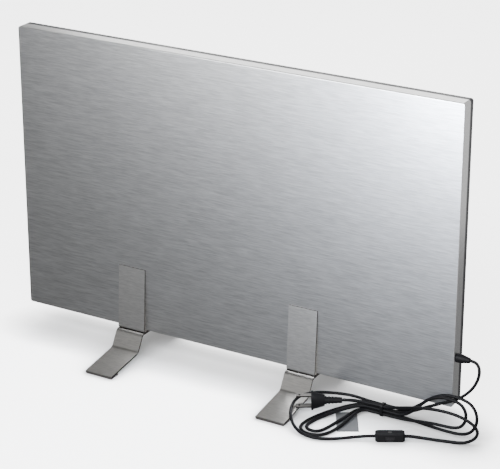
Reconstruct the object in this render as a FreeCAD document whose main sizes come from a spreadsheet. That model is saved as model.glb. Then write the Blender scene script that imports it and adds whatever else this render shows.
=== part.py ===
# Panel heater: a thin radiant panel that stands on two clip-on legs. Its cord leaves a boot low on the
# right side, is wound into a tied hank and carries an in-line rotary switch and a two-blade plug.
# Frame: X along the panel's width, Y from front to rear, Z up. The origin is on the floor, under the middle.
import FreeCAD
import Part
import Sketcher
import math
import os
import re
from FreeCAD import Placement, Rotation, Vector

# Driving sizes, in millimetres, degrees and counts.
SIZES = {
    # Panel: a metal front tray and a dark rear tray that meet edge to edge.
    "panel_width": 560.0,
    "panel_height": 345.0,
    "panel_depth": 22.0,
    "panel_clearance": 32.0,
    "corner_radius": 2.8,
    "front_depth": 14.0,
    "front_sheet": 1.0,
    "front_fold_radius": 1.2,
    "rear_sheet": 0.8,
    "rear_fold_radius": 1.6,
    "emboss_margin": 42.0,
    "emboss_radius": 18.0,
    "emboss_depth": 1.2,
    "cut_overrun": 1.0,
    "snug_gap": 0.05,
    # Folded frame inside both trays; its rear flange takes the screws.
    "frame_gap": 0.2,
    "frame_wall": 1.2,
    "frame_flange": 14.0,
    "screw_inset": 8.0,
    "screw_radius": 1.5,
    "screw_length": 6.0,
    "screw_hole_gap": 0.2,
    "screw_head_radius": 2.9,
    "screw_head_height": 1.6,
    "screw_columns": 3,
    "screw_rows": 3,
    # Layers behind the radiating face.
    "film_margin": 16.0,
    "film_thickness": 0.5,
    "track_thickness": 0.2,
    "track_width": 9.0,
    "track_pitch": 24.0,
    "foil_thickness": 0.2,
    "board_margin": 13.0,
    # Wiring bay: a notch in the board behind the boot.
    "bay_length": 77.0,
    "bay_height": 64.0,
    "block_inset": 30.0,
    "block_length": 14.0,
    "block_height": 16.0,
    "block_depth": 9.0,
    "block_pole_spacing": 8.0,
    "block_well_radius": 2.2,
    "block_well_depth": 4.0,
    "bay_gap": 3.5,
    "cutout_rise": 14.0,
    "cutout_radius": 7.0,
    "cutout_height": 5.0,
    "cutout_flange_radius": 8.5,
    "cutout_flange_height": 1.2,
    "cutout_tab_length": 6.0,
    "cutout_tab_width": 5.0,
    "cutout_tab_thickness": 0.8,
    "fuse_radius": 2.2,
    "fuse_length": 14.0,
    "fuse_drop": 14.0,
    "fuse_pin_radius": 0.5,
    "fuse_pin_length": 5.0,
    "wire_radius": 1.1,
    "core_spacing": 2.3,
    # Boot in the right side.
    "gland_rise": 58.0,
    "gland_from_front": 5.5,
    "gland_hole_gap": 0.1,
    "boot_length": 16.0,
    "boot_barrel_length": 6.5,
    "boot_radius": 5.0,
    "boot_tip_radius": 2.9,
    "boot_neck_radius": 3.3,
    "boot_flange_radius": 4.3,
    "boot_flange_thickness": 1.6,
    "boot_shoulder_radius": 1.2,
    "boot_taper_radius": 6.0,
    "tail_length": 18.0,
    # Legs: a bent foot strip under a spring clip; it slopes down to a tapered pad below each tip.
    "leg_left_x": -130.0,
    "leg_right_x": 96.5,
    "leg_width": 36.0,
    "strip_thickness": 2.0,
    "clip_thickness": 1.5,
    "clip_bend_radius": 1.2,
    "pad_thickness": 1.5,
    "pad_inset": 0.6,
    "pad_length": 14.0,
    "tab_height": 77.0,
    "tab_standoff": 4.7,
    "tab_grip": 0.2,
    "foot_reach": 76.0,
    "bridge_overhang": 9.5,
    "riser_angle": 60.0,
    "foot_slope": 8.0,
    "shoulder_radius": 4.0,
    "ankle_radius": 5.0,
    "rivet_radius": 2.0,
    "rivet_head_radius": 3.5,
    "rivet_head_height": 1.4,
    "rivet_recess": 0.2,
    "rivet_spacing": 20.0,
    # Cord and the waist of its hank, where six strands lie in three rows and two columns.
    "cord_radius": 1.8,
    "floor_gap": 0.3,
    "waist_x": 198.0,
    "waist_y": -12.5,
    "waist_half": 6.0,
    "waist_lift": 3.0,
    "waist_column": 4.4,
    "waist_row": 4.6,
    "tie_width": 3.0,
    "tie_thickness": 0.8,
    "tie_gap": 0.3,
    # Lobes of the hank: two lie on the floor to the left, two lean towards the panel on the right.
    "left_lobe_turn": 258.5,
    "left_lobe_outer_x": 148.4,
    "left_lobe_outer_y": -72.9,
    "left_lobe_outer_radius": 18.2,
    "left_lobe_inner_x": 146.8,
    "left_lobe_inner_y": -72.0,
    "left_lobe_inner_radius": 10.8,
    "right_lobe_outer_x": 291.5,
    "right_lobe_inner_x": 285.5,
    "right_lobe_outer_radius": 21.0,
    "right_lobe_inner_radius": 16.2,
    "right_lobe_y": -18.1,
    "right_lobe_step": 4.8,
    "right_lobe_lean": 4.0,
    "right_lobe_outer_lift": 5.0,
    "right_lobe_inner_lift": 13.0,
    # Blank paper flag that lies under the hank.
    "tag_x": 169.5,
    "tag_y": -42.5,
    "tag_turn": 30.0,
    "tag_width": 24.0,
    "tag_length": 46.0,
    "tag_thickness": 0.2,
    # In-line rotary switch.
    "switch_x": 228.7,
    "switch_y": -56.7,
    "switch_turn": 29.4,
    "switch_length": 32.0,
    "switch_width": 12.5,
    "switch_height": 9.5,
    "switch_end_chamfer": 2.5,
    "switch_edge_radius": 1.2,
    "wheel_radius": 7.8,
    "wheel_thickness": 3.6,
    "wheel_gap": 0.3,
    "wheel_notch_radius": 0.6,
    "wheel_notches": 20,
    "pivot_radius": 1.4,
    "pivot_head_radius": 2.3,
    "pivot_head_height": 1.0,
    "pivot_depth": 3.4,
    "contact_inset": 1.2,
    "contact_length": 3.4,
    "contact_width": 5.0,
    "contact_depth": 2.0,
    "contact_thickness": 0.6,
    # Plug: it lies on its narrow edge, with one blade above the other.
    "plug_x": 127.2,
    "plug_y": -47.7,
    "plug_z": 18.0,
    "plug_turn": 30.2,
    "plug_tilt": -0.8,
    "plug_flange_height": 23.0,
    "plug_flange_width": 15.0,
    "plug_flange_thickness": 2.2,
    "plug_waist_height": 13.0,
    "plug_waist_width": 9.5,
    "plug_body_length": 15.0,
    "relief_length": 19.0,
    "relief_root_radius": 4.6,
    "relief_tip_radius": 3.2,
    "relief_groove_depth": 0.6,
    "relief_ribs": 5,
    "blade_spacing": 12.7,
    "blade_length": 17.0,
    "blade_root": 6.0,
    "blade_width": 6.3,
    "blade_wide": 7.9,
    "blade_thickness": 1.5,
    "blade_hole_radius": 1.5,
    "blade_hole_inset": 4.0,
}

# Parts of a size, written as shares of it.
RUN_SHARE = 0.45
PLUG_MIDDLE_SHARE = 0.55

# Free stretches of the cord, as chosen points. They start and end at pieces that set their own points.
LEAD_ROUTE = [
    (302.0, -5.5, 90.0), (306.8, -6.3, 86.0), (308.6, -7.5, 79.0), (307.2, -8.9, 70.0), (303.0, -10.5, 61.0),
    (296.0, -11.6, 52.4), (287.0, -12.7, 45.0), (275.0, -13.5, 38.8), (262.0, -14.0, 32.6), (249.0, -13.6, 25.4),
    (236.0, -12.4, 17.8), (224.0, -10.9, 12.2), (213.0, -10.3, 9.7),
]
LEFT_ROUTE = [
    (180.0, -10.3, 14.3), (161.0, -6.5, 13.8), (147.0, -8.9, 14.2), (135.0, -14.8, 15.2), (125.4, -23.1, 17.0),
    (119.4, -30.9, 18.0), (112.9, -36.8, 17.0), (108.0, -42.1, 15.0), (106.4, -51.5, 11.8), (110.6, -65.1, 9.4),
    (116.6, -75.3, 8.0), (123.5, -83.7, 5.6), (132.4, -90.9, 3.6), (144.0, -96.1, 2.4), (157.0, -96.7, 2.2),
    (170.0, -92.3, 2.2), (183.0, -83.9, 2.6), (195.4, -75.1, 3.6),
]
RIGHT_ROUTE = [
    (266.0, -37.9, 2.8), (285.0, -32.1, 2.2), (301.6, -29.3, 3.0), (313.8, -28.7, 9.4), (319.4, -29.1, 18.4),
    (316.8, -29.9, 26.4), (308.0, -30.7, 32.2), (293.6, -31.3, 36.2), (274.4, -31.4, 36.6), (255.0, -30.1, 33.8),
    (237.6, -26.3, 28.0), (224.4, -20.9, 22.0), (213.6, -16.8, 17.6),
]
PLUG_ROUTE = [(175.0, -19.9, 16.8)]

doc = FreeCAD.newDocument("PanelHeater")
sheet = doc.addObject("Spreadsheet::Sheet", "Sizes")
for row, (alias, size) in enumerate(SIZES.items(), 1):
    sheet.set("A%d" % row, alias)
    sheet.set("B%d" % row, str(size))
    sheet.setAlias("B%d" % row, alias)
doc.recompute()

WORD = re.compile(r"[a-z_]+")
ALONG = {
    "X": Rotation(Vector(0, 1, 0), 90),
    "Y": Rotation(Vector(1, 0, 0), -90),
    "Z": Rotation(),
}
nodes = []


def ref(text):
    """An expression with each size named as a cell of the sheet."""
    return WORD.sub(lambda word: "Sizes." + word.group() if word.group() in SIZES else word.group(), text)


def num(text):
    """The value of an expression in the sheet's sizes."""
    return float(sheet.evalExpression(ref(text)))


def bind(thing, **properties):
    """Binds properties of an object to expressions."""
    for name, text in properties.items():
        thing.setExpression(name.replace("__", "."), ref(text))
    return thing


def place(thing, x="0", y="0", z="0", turn=None):
    """Binds an object's place to expressions; turn is its rotation."""
    if turn is not None:
        thing.Placement = Placement(Vector(), turn)
    return bind(thing, Placement__Base__x=x, Placement__Base__y=y, Placement__Base__z=z)


def node(thing, label):
    """Names an object as one of the heater's pieces."""
    thing.Label = label
    nodes.append(thing)
    return thing


def box(name, x, y, z, length, width, height):
    block = bind(doc.addObject("Part::Box", name), Length=length, Width=width, Height=height)
    return place(block, x, y, z)


def rod(name, x, y, z, radius, height, along="Z"):
    round_bar = bind(doc.addObject("Part::Cylinder", name), Radius=radius, Height=height)
    return place(round_bar, x, y, z, ALONG[along])


def fuse(name, *pieces):
    joined = doc.addObject("Part::MultiFuse", name)
    joined.Shapes = list(pieces)
    return joined


def cut(name, base, *tools):
    trimmed = doc.addObject("Part::Cut", name)
    trimmed.Base = base
    trimmed.Tool = tools[0] if len(tools) == 1 else fuse(name + "Tools", *tools)
    return trimmed


def group(name, *pieces):
    """Identical pieces that share one node."""
    together = doc.addObject("Part::Compound", name)
    together.Links = list(pieces)
    return together


def outline(body, plane, corners):
    """A closed outline of straight lines whose corners are bound to expressions."""
    sketch = body.newObject("Sketcher::SketchObject", body.Name + "Outline")
    sketch.AttachmentSupport = [([o for o in body.Origin.OriginFeatures if o.Role == plane][0], "")]
    sketch.MapMode = "FlatFace"
    spots = [Vector(num(across), num(up), 0) for across, up in corners]
    count = len(spots)
    for i in range(count):
        sketch.addGeometry(Part.LineSegment(spots[i], spots[(i + 1) % count]))
    for i in range(count):
        sketch.addConstraint(Sketcher.Constraint("Coincident", i, 2, (i + 1) % count, 1))
    for i, pair in enumerate(corners):
        for kind, text, start in (("DistanceX", pair[0], spots[i].x), ("DistanceY", pair[1], spots[i].y)):
            index = sketch.addConstraint(Sketcher.Constraint(kind, -1, 1, i, 1, start))
            sketch.setExpression("Constraints[%d]" % index, ref(text))
    return sketch


def padded(name, plane, corners, length, side="One side", back=False):
    """A body made by padding an outline."""
    body = doc.addObject("PartDesign::Body", name)
    pad = body.newObject("PartDesign::Pad", name + "Pad")
    pad.Profile = outline(body, plane, corners)
    pad.SideType = side
    pad.Reversed = back
    bind(pad, Length=length)
    doc.recompute()
    return body


def round_edges(body, radius, wanted):
    """Rounds the edges of a body that a test picks."""
    base = body.Tip
    names = ["Edge%d" % (i + 1) for i, edge in enumerate(base.Shape.Edges) if wanted(edge)]
    fillet = body.newObject("PartDesign::Fillet", base.Name + "Round")
    fillet.Base = (base, names)
    bind(fillet, Radius=radius)
    doc.recompute()
    return body


def runs_along(edge, axis):
    """True for a straight edge along an axis."""
    return edge.Curve.TypeId == "Part::GeomLine" and abs(edge.Curve.Direction.dot(axis)) > 1 - Part.Precision.angular()


def near(first, second):
    return abs(first - second) < Part.Precision.approximation() * num("panel_width")


def turned(name, corners):
    """A body made by turning an outline of (axial, radial) corners about the X axis."""
    body = doc.addObject("PartDesign::Body", name)
    sketch = outline(body, "XZ_Plane", corners)
    turn = body.newObject("PartDesign::Revolution", name + "Turn")
    turn.Profile = sketch
    turn.ReferenceAxis = (sketch, ["H_Axis"])
    doc.recompute()
    return body


def rounded_block(name, inset, start, depth, radius):
    """A block with the panel's outline, drawn in by an inset, from a plane towards the rear."""
    left = "-panel_width / 2 + (%s)" % inset
    right = "panel_width / 2 - (%s)" % inset
    low = "panel_clearance + (%s)" % inset
    high = "panel_clearance + panel_height - (%s)" % inset
    corners = [(left, low), (right, low), (right, high), (left, high)]
    body = padded(name, "XZ_Plane", corners, depth, back=True)
    round_edges(body, radius, lambda edge: runs_along(edge, Vector(0, 1, 0)))
    return place(body, y=start)


def tray(name, start, depth, sheet_size, fold, closed_rear):
    """A folded sheet tray, open towards the middle of the panel."""
    body = rounded_block(name, "0", start, depth, "corner_radius")
    ends = body.Tip.Shape.BoundBox
    closed, opened = (ends.YMax, ends.YMin) if closed_rear else (ends.YMin, ends.YMax)
    round_edges(body, fold, lambda edge: near(edge.BoundBox.YMin, closed) and near(edge.BoundBox.YMax, closed))
    base = body.Tip
    mouth = [i for i, face in enumerate(base.Shape.Faces, 1)
             if near(face.BoundBox.YMin, opened) and near(face.BoundBox.YMax, opened)]
    shell = body.newObject("PartDesign::Thickness", name + "Shell")
    shell.Base = (base, ["Face%d" % i for i in mouth])
    shell.Reversed = True
    bind(shell, Value=sheet_size)
    doc.recompute()
    return body


FRONT = "-panel_depth / 2"
SPLIT = "-panel_depth / 2 + front_depth"
REAR = "panel_depth / 2"
SIDE = "panel_width / 2"
GLAND_Y = "-panel_depth / 2 + gland_from_front"
GLAND_Z = "panel_clearance + gland_rise"
INNER_FRONT = "-panel_depth / 2 + front_sheet"
INNER_REAR = "panel_depth / 2 - rear_sheet"


def screw_places():
    """Screw axes round the rim of the rear cover, as expressions."""
    columns, rows = int(num("screw_columns")), int(num("screw_rows"))
    for i in range(columns):
        for k in range(rows):
            if 0 < i < columns - 1 and 0 < k < rows - 1:
                continue
            x = "-panel_width / 2 + screw_inset + (panel_width - 2 * screw_inset) * %d / %d" % (i, columns - 1)
            z = "panel_clearance + screw_inset + (panel_height - 2 * screw_inset) * %d / %d" % (k, rows - 1)
            yield x, z


def build_casing():
    """Front panel, rear cover, the frame between them and the screws."""
    front = tray("FrontTray", FRONT, "front_depth", "front_sheet", "front_fold_radius", False)
    hole = rod("BootHole", SIDE + " - front_sheet - frame_gap - frame_wall - cut_overrun", GLAND_Y, GLAND_Z,
               "boot_neck_radius + gland_hole_gap", "front_sheet + frame_gap + frame_wall + 2 * cut_overrun", "X")
    node(cut("FrontPanel", front, hole), "front_panel")

    rear = tray("RearTray", SPLIT, "panel_depth - front_depth", "rear_sheet", "rear_fold_radius", True)
    field = rounded_block("EmbossField", "emboss_margin", REAR + " - emboss_depth", "emboss_depth + cut_overrun",
                          "emboss_radius")
    dent = rounded_block("EmbossBack", "emboss_margin - rear_sheet", REAR + " - emboss_depth - rear_sheet",
                         "emboss_depth", "emboss_radius + rear_sheet")
    dished = cut("DishedRear", fuse("RearWithDent", rear, dent), field)
    holes = [rod("ScrewHole%d" % i, x, REAR + " - rear_sheet - cut_overrun", z, "screw_radius + screw_hole_gap",
                 "rear_sheet + 2 * cut_overrun", "Y") for i, (x, z) in enumerate(screw_places())]
    node(cut("RearCover", dished, *holes), "rear_cover")

    inset = "front_sheet + frame_gap"
    blank = rounded_block("FrameBlank", inset, INNER_FRONT, "panel_depth - front_sheet - rear_sheet",
                          "corner_radius - front_sheet - frame_gap")
    back = blank.Tip.Shape.BoundBox.YMax
    round_edges(blank, "frame_wall", lambda edge: near(edge.BoundBox.YMin, back))
    hollow = rounded_block("FrameHollow", inset + " + frame_wall", INNER_FRONT + " - cut_overrun",
                           "panel_depth - front_sheet - rear_sheet - frame_wall + cut_overrun",
                           "corner_radius - front_sheet - frame_gap - frame_wall")
    window = rounded_block("FrameWindow", inset + " + frame_wall + frame_flange", INNER_FRONT,
                           "panel_depth", "corner_radius")
    threads = [rod("ScrewThread%d" % i, x, INNER_REAR + " - frame_wall - cut_overrun", z, "screw_radius + snug_gap",
                   "frame_wall + 2 * cut_overrun", "Y") for i, (x, z) in enumerate(screw_places())]
    node(cut("InnerFrame", blank, hollow, window, hole, *threads), "inner_frame")

    screws = []
    for i, (x, z) in enumerate(screw_places()):
        shank = rod("ScrewShank%d" % i, x, REAR + " - screw_length", z, "screw_radius", "screw_length", "Y")
        head = rod("ScrewHead%d" % i, x, REAR, z, "screw_head_radius", "screw_head_height", "Y")
        screws.append(fuse("Screw%d" % i, shank, head))
    node(group("RearScrews", *screws), "rear_screws")


def build_layers():
    """Heating film with its track, reflector foil and insulation board."""
    film = rounded_block("HeatingFilm", "film_margin", INNER_FRONT, "film_thickness", "corner_radius")
    node(film, "heating_film")

    level = INNER_FRONT + " + film_thickness"
    runs = int(num("(panel_height - 2 * film_margin - track_pitch) / track_pitch")) + 1
    first = "(panel_clearance + panel_height / 2 - track_pitch * %d / 2 - track_width / 2)" % (runs - 1)
    half = "(panel_width / 2 - film_margin - track_pitch / 2)"
    strips = []
    for i in range(runs):
        z = "%s + track_pitch * %d" % (first, i)
        strips.append(box("TrackRun%d" % i, "-" + half, level, z, "2 * " + half, "track_thickness", "track_width"))
        if i:
            x = half + " - track_width" if i % 2 else "-" + half
            strips.append(box("TrackTurn%d" % i, x, level, z + " - track_pitch", "track_width", "track_thickness",
                              "track_pitch + track_width"))
    node(fuse("HeatingTrack", *strips), "heating_track")

    foil_front = level + " + track_thickness"
    foil = rounded_block("ReflectorFoil", "film_margin", foil_front, "foil_thickness", "corner_radius")
    node(foil, "reflector_foil")

    board_front = foil_front + " + foil_thickness"
    depth = "panel_depth - front_sheet - film_thickness - track_thickness - foil_thickness - frame_wall - rear_sheet"
    board = rounded_block("Board", "board_margin", board_front, depth, "corner_radius")
    bay = box("BoardBay", SIDE + " - board_margin - bay_length", board_front + " - cut_overrun",
              GLAND_Z + " - bay_height / 2", "bay_length + cut_overrun", "panel_depth", "bay_height")
    relief = rounded_block("BoardRelief", "emboss_margin - 2 * rear_sheet",
                           REAR + " - emboss_depth - rear_sheet - frame_gap", "panel_depth",
                           "emboss_radius + 2 * rear_sheet")
    node(cut("InsulationBoard", board, bay, relief), "insulation_board")


def build_wiring():
    """Terminal block, thermal cut-out, fuse and wires in the bay behind the boot."""
    floor = INNER_FRONT + " + film_thickness + track_thickness + foil_thickness"
    block_x = SIDE + " - film_margin - block_inset"
    block = box("BlockBlank", block_x, floor, GLAND_Z + " - block_height / 2", "block_length", "block_depth",
                "block_height")
    wells = [rod("BlockWell%d" % i, block_x + " + block_length / 2", floor + " + block_depth - block_well_depth",
                 GLAND_Z + " %s block_pole_spacing / 2" % sign, "block_well_radius", "block_depth", "Y")
             for i, sign in enumerate("+-")]
    node(cut("TerminalBlock", block, *wells), "terminal_block")

    bay_end = "panel_width / 2 - board_margin - bay_length + bay_gap"
    cutout_x = "(%s + cutout_flange_radius)" % bay_end
    cutout_z = GLAND_Z + " + cutout_rise"
    flange = rod("CutoutFlange", cutout_x, floor, cutout_z, "cutout_flange_radius", "cutout_flange_height", "Y")
    can = rod("CutoutCan", cutout_x, floor, cutout_z, "cutout_radius", "cutout_height", "Y")
    tab = box("CutoutTab", cutout_x, floor + " + cutout_height - cutout_tab_thickness",
              cutout_z + " - cutout_tab_width / 2", "cutout_radius + cutout_tab_length", "cutout_tab_thickness",
              "cutout_tab_width")
    node(fuse("ThermalCutout", flange, can, tab), "thermal_cutout")

    fuse_z = GLAND_Z + " - fuse_drop"
    fuse_x = "(%s + fuse_pin_length)" % bay_end
    fuse_y = floor + " + fuse_radius"
    shell = rod("FuseShell", fuse_x, fuse_y, fuse_z, "fuse_radius", "fuse_length", "X")
    pins = rod("FusePins", fuse_x + " - fuse_pin_length", fuse_y, fuse_z, "fuse_pin_radius",
               "fuse_length + 2 * fuse_pin_length", "X")
    node(fuse("ThermalFuse", shell, pins), "thermal_fuse")

    tail_end = SIDE + " - tail_length"
    gap = "(%s) - (%s) - block_length" % (tail_end, block_x)
    cores = []
    for name, sign in (("Live", "+"), ("Neutral", "-")):
        z = GLAND_Z + " %s core_spacing / 2" % sign
        cores.append(rod(name + "Core", block_x + " + block_length", GLAND_Y, z, "wire_radius", gap, "X"))
    tab_end = "(%s + cutout_radius + cutout_tab_length)" % cutout_x
    live_z = GLAND_Z + " + block_pole_spacing / 2"
    live = rod("LiveRun", tab_end + " - cutout_tab_length / 2", floor + " + wire_radius", live_z, "wire_radius",
               "(%s) - %s + cutout_tab_length / 2" % (block_x, tab_end), "X")
    rise = rod("LiveRise", tab_end + " - cutout_tab_length / 2", floor + " + wire_radius", live_z, "wire_radius",
               "cutout_rise - block_pole_spacing / 2 - cutout_tab_width / 2", "Z")
    node(group("LiveWire", cores[0], fuse("LiveBend", live, rise)), "live_wire")
    pin_end = "(%s + fuse_length + fuse_pin_length)" % fuse_x
    neutral_z = GLAND_Z + " - block_pole_spacing / 2"
    neutral = rod("NeutralRun", pin_end + " + wire_radius", fuse_y, neutral_z, "wire_radius",
                  "(%s) - %s - wire_radius" % (block_x, pin_end), "X")
    fall = rod("NeutralFall", pin_end + " + wire_radius", fuse_y, fuse_z, "wire_radius",
               "fuse_drop - block_pole_spacing / 2", "Z")
    node(group("NeutralWire", cores[1], fuse("NeutralBend", neutral, fall)), "neutral_wire")


def build_boot():
    """Tapered boot in the right side, and the end of the cord inside it."""
    wall = "(front_sheet + frame_gap + frame_wall)"
    bore = "cord_radius + snug_gap"
    corners = [
        ("-%s - boot_flange_thickness" % wall, bore), ("-%s - boot_flange_thickness" % wall, "boot_flange_radius"),
        ("-" + wall, "boot_flange_radius"), ("-" + wall, "boot_neck_radius"), ("0", "boot_neck_radius"),
        ("0", "boot_radius"), ("boot_barrel_length", "boot_radius"), ("boot_length", "boot_tip_radius"),
        ("boot_length", bore),
    ]
    boot = turned("StrainRelief", corners)
    for spot, radius in (("0", "boot_shoulder_radius"), ("boot_barrel_length", "boot_taper_radius")):
        wide = [edge for edge in boot.Tip.Shape.Edges if edge.Curve.TypeId == "Part::GeomCircle"
                and near(edge.Curve.Radius, num("boot_radius")) and near(edge.Curve.Center.x, num(spot))]
        round_edges(boot, radius, lambda edge: any(edge.isSame(one) for one in wide))
    node(place(boot, SIDE, GLAND_Y, GLAND_Z), "strain_relief")
    tail = rod("CordTail", SIDE + " - tail_length", GLAND_Y, GLAND_Z, "cord_radius", "tail_length + boot_length", "X")
    node(tail, "cord_tail")


BRIDGE_TOP = "(panel_clearance - clip_thickness)"
TIP = "(panel_depth / 2 + foot_reach)"
TIP_TOP = "(pad_thickness + strip_thickness / cos(foot_slope))"
KNEE = "(panel_depth / 2 + bridge_overhang)"
ANKLE = "((%s - %s + %s * tan(riser_angle) - %s * tan(foot_slope)) / (tan(riser_angle) - tan(foot_slope)))" % (
    BRIDGE_TOP, TIP_TOP, KNEE, TIP)
ANKLE_TOP = "(%s + (%s - %s) * tan(foot_slope))" % (TIP_TOP, TIP, ANKLE)
KNEE_MITRE = "strip_thickness * tan(riser_angle / 2)"
ANKLE_MITRE = "strip_thickness * %s((riser_angle + foot_slope) / 2) / cos((riser_angle - foot_slope) / 2)"



def mirrored(half):
    """A closed outline from its front half, listed from the middle outwards; the rear half mirrors it."""
    return [("-" + y, z) for y, z in half] + [(y, z) for y, z in reversed(half)]


def bent(name, corners, bends, x):
    """A bent strip, one leg wide, with a radius at each bend."""
    body = padded(name, "YZ_Plane", corners, "leg_width", "Symmetric")
    for radius, indices in bends.items():
        spots = [(num(corners[i][0]), num(corners[i][1])) for i in indices]
        round_edges(body, radius, lambda edge: runs_along(edge, Vector(1, 0, 0)) and any(
            near(edge.CenterOfMass.y, y) and near(edge.CenterOfMass.z, z) for y, z in spots))
    return place(body, x)


def build_leg(side):
    """One clip-on leg: foot strip, spring clip, rivets and pads."""
    x = "leg_%s_x" % side
    title = side.capitalize()
    rivet_spots = ["%s %s rivet_spacing / 2" % (x, sign) for sign in "+-"]

    upper = [(KNEE, BRIDGE_TOP), (ANKLE, ANKLE_TOP), (TIP, TIP_TOP)]
    lower = [("(%s - %s)" % (KNEE, KNEE_MITRE), BRIDGE_TOP + " - strip_thickness"),
             ("(%s - %s)" % (ANKLE, ANKLE_MITRE % "sin"), "%s - %s" % (ANKLE_TOP, ANKLE_MITRE % "cos")),
             (TIP, "pad_thickness")]
    top = mirrored(upper)
    under = mirrored(lower)
    ring = [top[i] for i in (2, 1, 0, 5, 4, 3)] + [under[i] for i in (3, 4, 5, 0, 1, 2)]
    bends = {
        "shoulder_radius + strip_thickness": [2, 3],
        "shoulder_radius": [8, 9],
        "ankle_radius": [1, 4],
        "ankle_radius + strip_thickness": [7, 10],
    }
    strip = bent(title + "Strip", ring, bends, x)
    holes = [rod("%sStripHole%d" % (title, i), spot, "0", BRIDGE_TOP + " - strip_thickness - cut_overrun",
                 "rivet_radius + snug_gap", "strip_thickness + clip_thickness + 2 * cut_overrun")
             for i, spot in enumerate(rivet_spots)]
    node(cut(title + "FootStrip", strip, *holes), side + "_foot_strip")

    inner = "(panel_depth / 2 + tab_standoff)"
    grip = "(panel_depth / 2 + tab_grip)"
    tab_top = "panel_clearance + tab_height"
    web_top = "panel_clearance"
    clip_ring = [
        ("-(%s + clip_thickness)" % inner, BRIDGE_TOP), ("-(%s + clip_thickness)" % grip, tab_top),
        ("-" + grip, tab_top), ("-" + inner, web_top), (inner, web_top), (grip, tab_top),
        ("%s + clip_thickness" % grip, tab_top), ("%s + clip_thickness" % inner, BRIDGE_TOP),
    ]
    clip_bends = {"clip_bend_radius + clip_thickness": [0, 7], "clip_bend_radius": [3, 4]}
    clip = bent(title + "Clip", clip_ring, clip_bends, x)
    node(cut(title + "SpringClip", clip, *holes), side + "_spring_clip")

    rivets = []
    for i, spot in enumerate(rivet_spots):
        shank = rod("%sRivetShank%d" % (title, i), spot, "0", BRIDGE_TOP + " - strip_thickness", "rivet_radius",
                    "strip_thickness + clip_thickness - rivet_recess")
        head = rod("%sRivetHead%d" % (title, i), spot, "0",
                   BRIDGE_TOP + " - strip_thickness - rivet_head_height", "rivet_head_radius", "rivet_head_height")
        rivets.append(fuse("%sRivet%d" % (title, i), shank, head))
    node(group(title + "Rivets", *rivets), side + "_rivets")

    toe = "(%s - pad_inset)" % TIP
    heel = "(%s - pad_length)" % toe
    toe_top = "(pad_thickness + pad_inset * tan(foot_slope))"
    heel_top = "(%s + pad_length * tan(foot_slope))" % toe_top
    pads = []
    for i, sign in enumerate(("-", "")):
        wedge = [(sign + heel, "0"), (sign + toe, "0"), (sign + toe, toe_top), (sign + heel, heel_top)]
        pads.append(place(padded("%sPad%d" % (title, i), "YZ_Plane", wedge, "leg_width - 2 * pad_inset", "Symmetric"), x))
    node(group(title + "FootPads", *pads), side + "_foot_pads")


def switch_place(thing, height="0"):
    """Sets a piece of the switch, built about its own middle, where the switch lies."""
    turn = Rotation(Vector(0, 0, 1), num("switch_turn"))
    return place(thing, "switch_x", "switch_y", "floor_gap + " + height, turn)


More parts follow.
